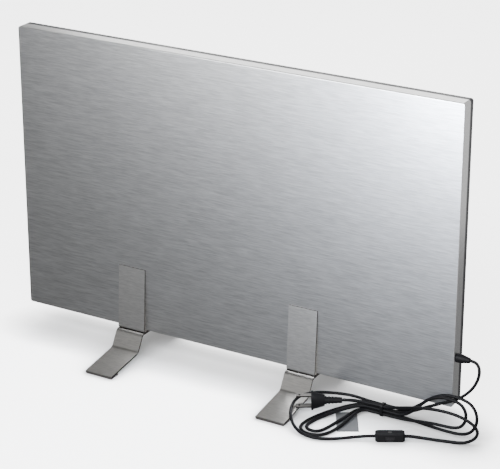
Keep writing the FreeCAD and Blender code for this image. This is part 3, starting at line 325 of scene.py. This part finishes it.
def brushed_metal(name, tint, *, lines, stretch, roughness, contrast, relief):
    """Metal brushed along X, with a number of lines to the metre that are drawn out by a stretch."""
    made, tree, shader = material(name)
    grain = noise_group(tree, brushed_grain_group(), Lines=lines, Stretch=stretch)
    shade = spread(tree, grain["Shade"], 0.0, 1.0)
    tree.links.new(tone_mix(tree, shade, shaded(tint, 1 - contrast), shaded(tint, 1 + contrast)),
                   shader.inputs["Base Color"])
    tree.links.new(spread(tree, grain["Shade"], roughness - GRAIN_ROUGHNESS, roughness + GRAIN_ROUGHNESS),
                   shader.inputs["Roughness"])
    bump = add(tree, "ShaderNodeBump", {"Strength": relief, "Distance": GRAIN_HEIGHT, "Height": grain["Height"]})
    tree.links.new(bump.outputs["Normal"], shader.inputs["Normal"])
    shader.inputs["Metallic"].default_value = 1.0
    return made


def moulded(name, tint, *, roughness, relief, fine=1500.0, specular=0.5):
    """Paint, plastic, rubber or paper with a soft mottle and a fine texture."""
    made, tree, shader = material(name)
    mottle = noise_group(tree, soft_mottle_group(), Fine=fine)
    tone = spread(tree, mottle["Tone"], 0.0, 1.0)
    tree.links.new(tone_mix(tree, tone, shaded(tint, 1 - MOTTLE_CONTRAST), shaded(tint, 1 + MOTTLE_CONTRAST)),
                   shader.inputs["Base Color"])
    tree.links.new(spread(tree, mottle["Tone"], roughness + MOTTLE_ROUGHNESS, roughness - MOTTLE_ROUGHNESS),
                   shader.inputs["Roughness"])
    bump = add(tree, "ShaderNodeBump", {"Strength": relief, "Distance": SPECK_HEIGHT, "Height": mottle["Speck"]})
    tree.links.new(bump.outputs["Normal"], shader.inputs["Normal"])
    shader.inputs["Metallic"].default_value = 0.0
    shader.inputs["Specular IOR Level"].default_value = specular
    return made


def dress(finish, *names):
    """Gives CAD nodes a finish."""
    for name in names:
        data = NODES[name].data
        data.materials.clear()
        data.materials.append(finish)


def dress_shaded_edges(finish, *names):
    """Gives the cut edges of bent strips, their sides and their highest faces, a near-black finish of their own:
    painted shade, not the metal's colour.
    """
    for name in names:
        data = NODES[name].data
        data.materials.append(finish)
        top = max(polygon.center.z for polygon in data.polygons)
        for polygon in data.polygons:
            if abs(polygon.normal.x) > SHADE_EDGE_FACING or polygon.center.z > top - SHADE_TOP_SLACK:
                polygon.material_index = 1


def link_object(name, data):
    """A new object in the scene that shows the data."""
    made = bpy.data.objects.new(name, data)
    bpy.context.scene.collection.objects.link(made)
    return made


# Panel and legs


class HEATER_OT_panel(bpy.types.Operator):
    """Finishes the brushed front panel and the dark rear cover"""

    bl_idname = "heater.panel"
    bl_label = "Panel"

    def execute(self, context):
        tints = context.scene.heater_finish
        dress(brushed_metal("FaceMetal", tints.face, lines=950.0, stretch=15.0, roughness=0.32, contrast=0.19,
                            relief=0.15), "front_panel")
        dress(moulded("RearPaint", tints.rear, roughness=0.42, relief=0.25, fine=900.0), "rear_cover")
        return {"FINISHED"}


class HEATER_OT_legs(bpy.types.Operator):
    """Finishes the clip-on legs and the pads below their feet"""

    bl_idname = "heater.legs"
    bl_label = "Legs"

    def execute(self, context):
        tints = context.scene.heater_finish
        silver = brushed_metal("LegSilver", tints.leg, lines=900.0, stretch=8.0, roughness=0.34, contrast=0.15,
                               relief=0.12)
        # Painted shade: a near-black finish for the cut edges and highest faces of the legs.
        edge = moulded("LegEdge", tints.edge, roughness=0.6, relief=0.3, fine=1800.0, specular=0.2)
        pad = moulded("PadRubber", (0.03, 0.022, 0.026), roughness=0.7, relief=0.4)
        for side in ("left", "right"):
            dress(silver, side + "_spring_clip", side + "_foot_strip")
            dress_shaded_edges(edge, side + "_foot_strip", side + "_spring_clip")
            dress(pad, side + "_foot_pads")
        return {"FINISHED"}


# Screws and rivets


def turned_mesh(name, profile, segments):
    """A closed mesh turned about Z from (radius, height) pairs that start and end on the axis."""
    shape = bmesh.new()
    turn = [2 * math.pi * i / segments for i in range(segments)]
    rings = []
    for radius, height in profile:
        if radius == 0:
            rings.append([shape.verts.new((0, 0, height))])
        else:
            rings.append([shape.verts.new((radius * math.cos(a), radius * math.sin(a), height)) for a in turn])
    for low, high in zip(rings, rings[1:]):
        for i in range(segments):
            k = (i + 1) % segments
            corners = [low[i % len(low)], low[k % len(low)], high[k % len(high)], high[i % len(high)]]
            shape.faces.new(list(dict.fromkeys(corners)))
    bmesh.ops.recalc_face_normals(shape, faces=shape.faces)
    data = bpy.data.meshes.new(name)
    shape.to_mesh(data)
    shape.free()
    return data


def fastener_tree(name, recessed):
    """Geometry Nodes that set a fastener on each point, with a cross recess in its head if it has one."""
    tree = bpy.data.node_groups.new(name, "GeometryNodeTree")
    sockets = [("Geometry", "NodeSocketGeometry"), ("Fastener", "NodeSocketObject"), ("Turn", "NodeSocketVector"),
               ("Finish", "NodeSocketMaterial")]
    if recessed:
        sockets += [("Recess Length", "NodeSocketFloat"), ("Recess Width", "NodeSocketFloat"),
                    ("Recess Depth", "NodeSocketFloat"), ("Head Height", "NodeSocketFloat")]
    for label, kind in sockets:
        tree.interface.new_socket(label, in_out="INPUT", socket_type=kind)
    tree.interface.new_socket("Geometry", in_out="OUTPUT", socket_type="NodeSocketGeometry")
    into, out = tree.nodes.new("NodeGroupInput").outputs, tree.nodes.new("NodeGroupOutput").inputs
    shape = add(tree, "GeometryNodeObjectInfo", {"Object": into["Fastener"]}).outputs["Geometry"]
    if recessed:
        depth = add(tree, "ShaderNodeMath", {0: into["Recess Depth"], 1: 2.0}, operation="MULTIPLY").outputs[0]
        level = add(tree, "ShaderNodeCombineXYZ", {"Z": into["Head Height"]}).outputs[0]
        bars = []
        for across, along in (("Recess Length", "Recess Width"), ("Recess Width", "Recess Length")):
            size = add(tree, "ShaderNodeCombineXYZ", {"X": into[across], "Y": into[along], "Z": depth}).outputs[0]
            bar = add(tree, "GeometryNodeMeshCube", {"Size": size}).outputs["Mesh"]
            bars.append(add(tree, "GeometryNodeTransform", {"Geometry": bar, "Translation": level}).outputs[0])
        cutter = add(tree, "GeometryNodeMeshBoolean", operation="DIFFERENCE", solver="EXACT")
        tree.links.new(shape, cutter.inputs["Mesh 1"])
        for bar in bars:
            tree.links.new(bar, cutter.inputs["Mesh 2"])
        shape = cutter.outputs["Mesh"]
    placed = add(tree, "GeometryNodeInstanceOnPoints", {"Points": into["Geometry"], "Instance": shape,
                                                       "Rotation": into["Turn"]})
    real = add(tree, "GeometryNodeRealizeInstances", {"Geometry": placed.outputs["Instances"]})
    finished = add(tree, "GeometryNodeSetMaterial", {"Geometry": real.outputs[0], "Material": into["Finish"]})
    tree.links.new(finished.outputs[0], out["Geometry"])
    return tree


def fasteners(name, tree, places, template, turn, finish, sizes, body, *nodes):
    """Sets fasteners at places, as one plain mesh that stands for CAD nodes."""
    points = bpy.data.meshes.new(name + "Points")
    points.from_pydata([tuple(place) for place in places], [], [])
    holder = link_object(name + "Points", points)
    pattern = link_object(name + "Template", template)
    modifier = holder.modifiers.new("Fasteners", "NODES")
    modifier.node_group = tree
    named = {item.name: item.identifier for item in tree.interface.items_tree if item.in_out == "INPUT"}
    for label, value in {"Fastener": pattern, "Turn": turn, "Finish": finish, **sizes}.items():
        modifier[named[label]] = value
    bpy.context.view_layer.update()
    depsgraph = bpy.context.evaluated_depsgraph_get()
    data = bpy.data.meshes.new_from_object(holder.evaluated_get(depsgraph), depsgraph=depsgraph)
    for spare in (holder, pattern):
        bpy.data.objects.remove(spare)
    made = link_object(name, data)
    for polygon in data.polygons:
        polygon.use_smooth = False
    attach(made, body)
    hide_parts(*nodes)
    return made


class HEATER_OT_fasteners(bpy.types.Operator):
    """Sets the rear cover's cross-head screws and the rivets of the legs"""

    bl_idname = "heater.fasteners"
    bl_label = "Fasteners"

    def execute(self, context):
        sizes = context.scene.heater_fasteners
        steel = brushed_metal("FastenerSteel", (0.5, 0.5, 0.51), lines=4000.0, stretch=4.0, roughness=0.35,
                              contrast=0.1, relief=0.2)
        low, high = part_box("rear_cover")
        places = []
        for i in range(sizes.columns):
            for k in range(sizes.rows):
                if 0 < i < sizes.columns - 1 and 0 < k < sizes.rows - 1:
                    continue
                x = low.x + sizes.inset + (high.x - low.x - 2 * sizes.inset) * i / (sizes.columns - 1)
                z = low.z + sizes.inset + (high.z - low.z - 2 * sizes.inset) * k / (sizes.rows - 1)
                places.append((x, high.y, z))
        screws_low, screws_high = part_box("rear_screws")
        head = screws_high.y - high.y
        length = high.y - screws_low.y
        radius = screws_high.x - places[-1][0]
        shank = radius * SCREW_SHANK
        profile = [(0, -length), (shank * SCREW_TIP, -length), (shank, -length * SCREW_TIP), (shank, 0)]
        profile += [(radius * out, head * up) for out, up in SCREW_HEAD]
        template = turned_mesh("ScrewShape", profile, sizes.segments)
        recess = {"Recess Length": radius * CROSS_RECESS["length"], "Recess Width": radius * CROSS_RECESS["width"],
                  "Recess Depth": head * CROSS_RECESS["depth"], "Head Height": head}
        screws = fasteners("rear_screw_set", fastener_tree("CrossHeadScrews", True), places, template,
                           (-math.pi / 2, 0, 0), steel, recess, "panel", "rear_screws")

        for side in ("left", "right"):
            low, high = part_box(side + "_rivets")
            radius = (high.y - low.y) / 2
            span = high.x - low.x - 2 * radius
            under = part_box(side + "_foot_strip")[1].z - STRIP_THICKNESS
            dome = under - low.z
            middle, shank = (low.x + high.x) / 2, radius * RIVET_SHANK
            profile = [(radius * out, dome * (up - 1)) for out, up in RIVET_DOME]
            profile += [(shank, 0), (shank, high.z - under), (0, high.z - under)]
            template = turned_mesh("RivetShape", profile, sizes.segments)
            places = [(middle + way * span / 2, 0, under) for way in (-1, 1)]
            rivets = fasteners(side + "_rivet_pair", fastener_tree("DomedRivets", False), places, template,
                               (0, 0, 0), steel, {}, "leg_" + side, side + "_rivets")
        return {"FINISHED"}


# Cord, switch and plug


def strand(row, column, end):
    """A point at one end of the waist, where a strand of a row and column lies."""
    return Vector((WAIST["x"] + end * WAIST["half"], WAIST["y"] + (column - 0.5) * WAIST["column"],
                   WAIST["low"] + row * WAIST["row"]))


def sweep(start, leaving, end, arriving):
    """The two corners of a smooth sweep between two points with given directions."""
    span = end - start
    along = span.dot(leaving + arriving)
    apart = 2 * (1 - leaving.dot(arriving))
    if apart < PARALLEL:
        reach = span.length_squared / (2 * along)
    else:
        reach = (-along + math.sqrt(along ** 2 + apart * span.length_squared)) / apart
    return [start + leaving * reach, end - arriving * reach]


def lobe(start, leaving, centre, ahead, side, radius, end, arriving):
    """Control points of one lobe, from the waist round its end and back to the waist."""
    half_step = math.pi / LOBE_CORNERS / 2
    corner = radius / math.cos(half_step)
    angles = [half_step * (2 * i + 1) for i in range(LOBE_CORNERS)]
    return (sweep(start, leaving, centre + side * radius, ahead)
            + [centre + (side * math.cos(a) + ahead * math.sin(a)) * corner for a in angles]
            + sweep(centre - side * radius, -ahead, end, arriving))


def hank_points():
    """Control points of the hank: two turns through the waist, each with a left and a right lobe."""
    west, east = Vector((-1, 0, 0)), Vector((1, 0, 0))
    heading, lean = math.radians(LEFT_HEADING), math.radians(RIGHT_LEAN)
    out = Vector((math.cos(heading), math.sin(heading), 0))
    across = Vector((out.y, -out.x, 0))
    up = Vector((0, math.sin(lean), math.cos(lean)))
    turns = [("outer", "inner", (1, 1), (0, 0), (1, 0)), ("inner", "outer", (1, 0), (0, 1), (2, 1))]
    points = [strand(*turns[0][2], 1), strand(*turns[0][2], -1)]
    for left, right, entry, back, following in turns:
        (x, y), radius = LEFT_LOBES[left]
        points += lobe(strand(*entry, -1), west, Vector((x, y, FLOOR_STRAND)), out, across, radius,
                       strand(*back, -1), east)
        points += [strand(*back, -1), strand(*back, 1)]
        (x, y), radius, lift = RIGHT_LOBES[right]
        points += lobe(strand(*back, 1), east, Vector((x, y, FLOOR_STRAND + lift + radius * up.z)), east, -up,
                       radius, strand(*following, 1), west)
        points += [strand(*following, 1), strand(*following, -1)]
    return points


def cord_curve(name, points, diameter, finish):
    """A round cord on one smooth spline through the pull of its points."""
    data = bpy.data.curves.new(name, "CURVE")
    data.dimensions = "3D"
    data.bevel_depth = diameter / 2
    data.bevel_resolution = 4
    data.resolution_u = 8
    data.use_fill_caps = True
    spline = data.splines.new("NURBS")
    spline.points.add(len(points) - 1)
    for control, point in zip(spline.points, points):
        control.co = (*(Vector(point) * MM), 1.0)
    spline.order_u = 3
    spline.use_endpoint_u = True
    data.materials.append(finish)
    return link_object(name, data)


class HEATER_OT_cord(bpy.types.Operator):
    """Lays the cord from the boot through the hank to the switch, and on to the plug"""

    bl_idname = "heater.cord"
    bl_label = "Cord"

    def execute(self, context):
        cord, tints = context.scene.heater_cord, context.scene.heater_finish
        jacket = moulded("CordJacket", tints.cord, roughness=0.42, relief=0.15, fine=2500.0, specular=0.1)
        wound = cord_curve("cord_to_switch", LEAD_ROUTE + hank_points() + LEFT_ROUTE, cord.diameter, jacket)
        far = cord_curve("cord_to_plug", RIGHT_ROUTE, cord.diameter, jacket)
        for made, nodes in ((wound, ("cord_lead", "cord_hank", "cord_left")), (far, ("cord_right",))):
            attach(made, "panel")
            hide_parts(*nodes)

        dress(jacket, "cord_tail")
        dress(moulded("BootRubber", tints.cord, roughness=0.5, relief=0.3, specular=0.1),
              "strain_relief", "plug_body")
        dress(moulded("TieWire", tints.cord, roughness=0.4, relief=0.2, specular=0.15), "cord_tie")
        dress(moulded("FlagPaper", tints.paper, roughness=0.8, relief=0.4, fine=3000.0, specular=0.2), "cord_tag")
        dress(moulded("SwitchPlastic", tints.plastic, roughness=0.5, relief=0.3, fine=2200.0, specular=0.04),
              "switch_upper_shell", "switch_lower_shell")
        dress(moulded("WheelPlastic", shaded(tints.plastic, WHEEL_SHARE)[:3], roughness=0.5, relief=0.3,
                      fine=2200.0, specular=0.2), "switch_wheel")
        dress(brushed_metal("PlatedBlade", (0.05, 0.048, 0.045), lines=5000.0, stretch=12.0, roughness=0.3,
                            contrast=0.08, relief=0.15), "plug_live_blade", "plug_neutral_blade", "switch_contacts")
        dress(brushed_metal("PivotSteel", (0.05, 0.05, 0.051), lines=5000.0, stretch=3.0, roughness=0.45,
                            contrast=0.1, relief=0.2), "switch_screw")
        return {"FINISHED"}


class HEATER_OT_inside(bpy.types.Operator):
    """Finishes what is inside the panel"""

    bl_idname = "heater.inside"
    bl_label = "Inside"

    def execute(self, context):
        dress(brushed_metal("FrameSteel", (0.5, 0.51, 0.52), lines=1200.0, stretch=30.0, roughness=0.4,
                            contrast=0.08, relief=0.2), "inner_frame", "thermal_cutout", "thermal_fuse")
        dress(moulded("FilmAmber", (0.42, 0.2, 0.05), roughness=0.35, relief=0.1), "heating_film")
        dress(brushed_metal("TrackAlloy", (0.36, 0.35, 0.33), lines=2000.0, stretch=20.0, roughness=0.4,
                            contrast=0.1, relief=0.2), "heating_track")
        dress(brushed_metal("ReflectorFoil", (0.8, 0.8, 0.81), lines=300.0, stretch=1.0, roughness=0.25,
                            contrast=0.04, relief=0.5), "reflector_foil")
        dress(moulded("BoardFibre", (0.68, 0.65, 0.56), roughness=0.9, relief=0.9, fine=700.0), "insulation_board")
        dress(moulded("BlockPlastic", (0.7, 0.7, 0.68), roughness=0.5, relief=0.2), "terminal_block")
        dress(moulded("LiveCore", (0.02, 0.02, 0.02), roughness=0.45, relief=0.1), "live_wire")
        dress(moulded("NeutralCore", (0.75, 0.75, 0.75), roughness=0.45, relief=0.1), "neutral_wire")
        return {"FINISHED"}


# Studio


def softbox(settings, name, power, place, aim, size, tint, state, pieces):
    """A rectangular light, turned to a point, that reaches only some pieces or all but them."""
    data = bpy.data.lights.new(name, "AREA")
    data.shape = "RECTANGLE"
    data.size, data.size_y = size
    data.energy = getattr(settings, power)
    data.color = tint
    made = link_object(name, data)
    made.location = place
    made.visible_camera = False
    made.rotation_euler = (Vector(aim) - Vector(place)).to_track_quat("-Z", "Y").to_euler()
    chosen = bpy.data.collections.new(name + "Nodes")
    for piece in pieces:
        chosen.objects.link(NODES[piece])
    made.light_linking.receiver_collection = chosen
    for item in chosen.collection_objects:
        item.light_linking.link_state = state


def sheet(name, near, far, height, finish):
    """A level rectangle of the stage between two corners."""
    data = bpy.data.meshes.new(name)
    corners = [(near[0], near[1]), (far[0], near[1]), (far[0], far[1]), (near[0], far[1])]
    data.from_pydata([(x, y, height) for x, y in corners], [], [(0, 1, 2, 3)])
    data.materials.append(finish)
    made = link_object(name, data)
    return made


class HEATER_OT_stage(bpy.types.Operator):
    """Makes the floor, the card, the room, the softboxes and the camera"""

    bl_idname = "heater.stage"
    bl_label = "Stage"

    def execute(self, context):
        stage, view = context.scene.heater_stage, context.scene.heater_camera

        half = stage.floor_size / 2
        paper, tree, shader = material("FloorPaper")
        floor = sheet("studio_floor", (-half, -half), (half, half), 0.0, paper)
        tone = stage.floor_tone
        shader.inputs["Base Color"].default_value = (tone, tone, tone, 1.0)
        shader.inputs["Roughness"].default_value = 0.9
        shader.inputs["Specular IOR Level"].default_value = 0.1
        shader.inputs["Emission Color"].default_value = (1.0, 1.0, 1.0, 1.0)
        # The floor's glow dims near things by their ambient occlusion: painted contact shade.
        near = add(tree, "ShaderNodeAmbientOcclusion", {"Distance": stage.shade_reach}, samples=16)
        shade = add(tree, "ShaderNodeMath", {0: near.outputs["AO"], 1: stage.shade_depth}, operation="POWER")
        glow = add(tree, "ShaderNodeMath", {0: shade.outputs[0], 1: stage.floor_glow}, operation="MULTIPLY")
        tree.links.new(glow.outputs[0], shader.inputs["Emission Strength"])
        floor.visible_glossy = False
        floor.visible_diffuse = False

        grey, _, shader = material("CardGrey")
        shader.inputs["Base Color"].default_value = (0.0, 0.0, 0.0, 1.0)
        shader.inputs["Specular IOR Level"].default_value = 0.0
        shader.inputs["Emission Color"].default_value = (1.0, 1.0, 1.0, 1.0)
        shader.inputs["Emission Strength"].default_value = stage.card_glow
        card = sheet("studio_card", *CARD_CORNERS, CARD_HEIGHT, grey)
        card.visible_camera = False
        card.visible_diffuse = False
        card.visible_shadow = False

        world = bpy.data.worlds.new("StudioRoom")
        context.scene.world = world
        world.use_nodes = True
        tree = world.node_tree
        way = add(tree, "ShaderNodeTexCoord").outputs["Generated"]
        facing = add(tree, "ShaderNodeVectorMath", {0: way, 1: GLEAM_WAY}, operation="DOT_PRODUCT").outputs["Value"]
        gleam = add(tree, "ShaderNodeMapRange", {
            "Value": facing, "From Min": GLEAM_SPAN[0], "From Max": GLEAM_SPAN[1],
            "To Min": stage.gleam_low, "To Max": stage.gleam_high})
        rays = add(tree, "ShaderNodeLightPath").outputs
        room = level_mix(tree, rays["Is Glossy Ray"], stage.room_light, gleam.outputs["Result"])
        strength = level_mix(tree, rays["Is Camera Ray"], room, stage.floor_glow)
        backdrop = tree.nodes["Background"]
        backdrop.inputs["Color"].default_value = (1.0, 1.0, 1.0, 1.0)
        tree.links.new(strength, backdrop.inputs["Strength"])

        for light in SOFTBOXES:
            softbox(stage, **light)
        for name in PANEL_LAYERS:
            NODES[name].visible_glossy = False

        camera = link_object("StudioCamera", bpy.data.cameras.new("StudioCamera"))
        camera.data.lens = view.lens
        camera.location = view.place
        back = Vector((math.sin(view.azimuth) * math.cos(view.elevation),
                       -math.cos(view.azimuth) * math.cos(view.elevation), math.sin(view.elevation)))
        camera.rotation_euler = (-back).to_track_quat("-Z", "Y").to_euler()
        context.scene.camera = camera
        return {"FINISHED"}


class HEATER_PT_sidebar(bpy.types.Panel):
    """Lists the heater's settings and steps"""

    bl_idname = "HEATER_PT_sidebar"
    bl_label = "Panel heater"
    bl_space_type = "VIEW_3D"
    bl_region_type = "UI"
    bl_category = "Heater"

    def draw(self, context):
        for step in STEPS:
            self.layout.operator(step.bl_idname)
        for name, kind in SETTINGS.items():
            settings = getattr(context.scene, name)
            box = self.layout.box()
            for field in kind.__annotations__:
                box.prop(settings, field)


STEPS = (HEATER_OT_panel, HEATER_OT_legs, HEATER_OT_fasteners, HEATER_OT_cord, HEATER_OT_inside, HEATER_OT_stage)
SETTINGS = {
    "heater_camera": HeaterCamera,
    "heater_stage": HeaterStage,
    "heater_finish": HeaterFinish,
    "heater_cord": HeaterCord,
    "heater_fasteners": HeaterFasteners,
}


def register():
    for kind in (*SETTINGS.values(), *STEPS, HEATER_PT_sidebar):
        bpy.utils.register_class(kind)
    for name, kind in SETTINGS.items():
        setattr(bpy.types.Scene, name, PointerProperty(type=kind))


def unregister():
    for name in SETTINGS:
        delattr(bpy.types.Scene, name)
    for kind in (HEATER_PT_sidebar, *reversed(STEPS), *reversed(SETTINGS.values())):
        bpy.utils.unregister_class(kind)


def main():
    register()
    bpy.ops.heater.panel()
    bpy.ops.heater.legs()
    bpy.ops.heater.fasteners()
    bpy.ops.heater.cord()
    bpy.ops.heater.inside()
    bpy.ops.heater.stage()


if __name__ == "__main__":
    main()
